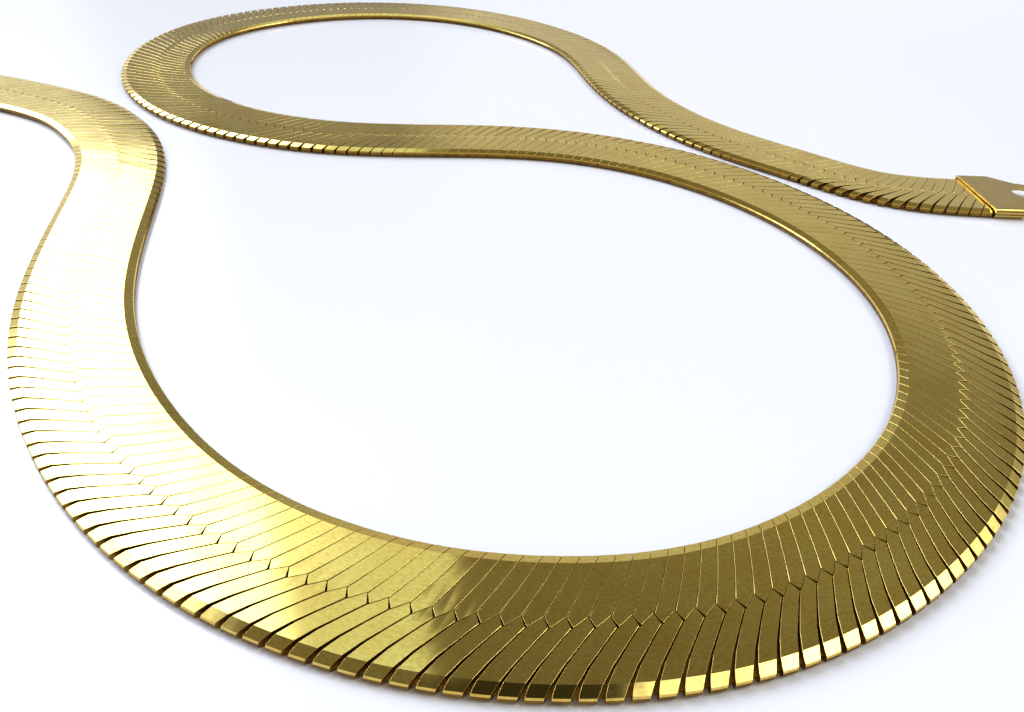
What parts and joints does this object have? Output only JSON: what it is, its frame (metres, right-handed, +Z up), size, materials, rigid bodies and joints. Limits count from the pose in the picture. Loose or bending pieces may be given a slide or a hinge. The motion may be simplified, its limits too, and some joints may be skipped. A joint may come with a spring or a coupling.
{
  "type": "herringbone chain necklace, unclasped and laid flat",
  "caption": "Flat gold herringbone chain laid in a wide S, with folded end caps, an open eye at one end and a ring clasp at the other.",
  "frame": {"origin": "on the table, under the middle of the necklace's box", "axes": "+Z up from the table; +X towards the free end with its open eye; +Y away from a viewer who sees the big loop nearest"},
  "size_m": [0.1498, 0.1296, 0.0037],
  "materials": {
    "chain_gold": "yellow gold, brushed flat links with polished bevelled ends",
    "cap_gold": "yellow gold sheet, satin",
    "clasp_gold": "polished yellow gold"
  },
  "bodies": {
    "root": {"herringbone_band": "chain_gold", "end_cap_free": "cap_gold", "end_cap_clasp": "cap_gold", "clasp": "clasp_gold"}
  },
  "joints": []
}
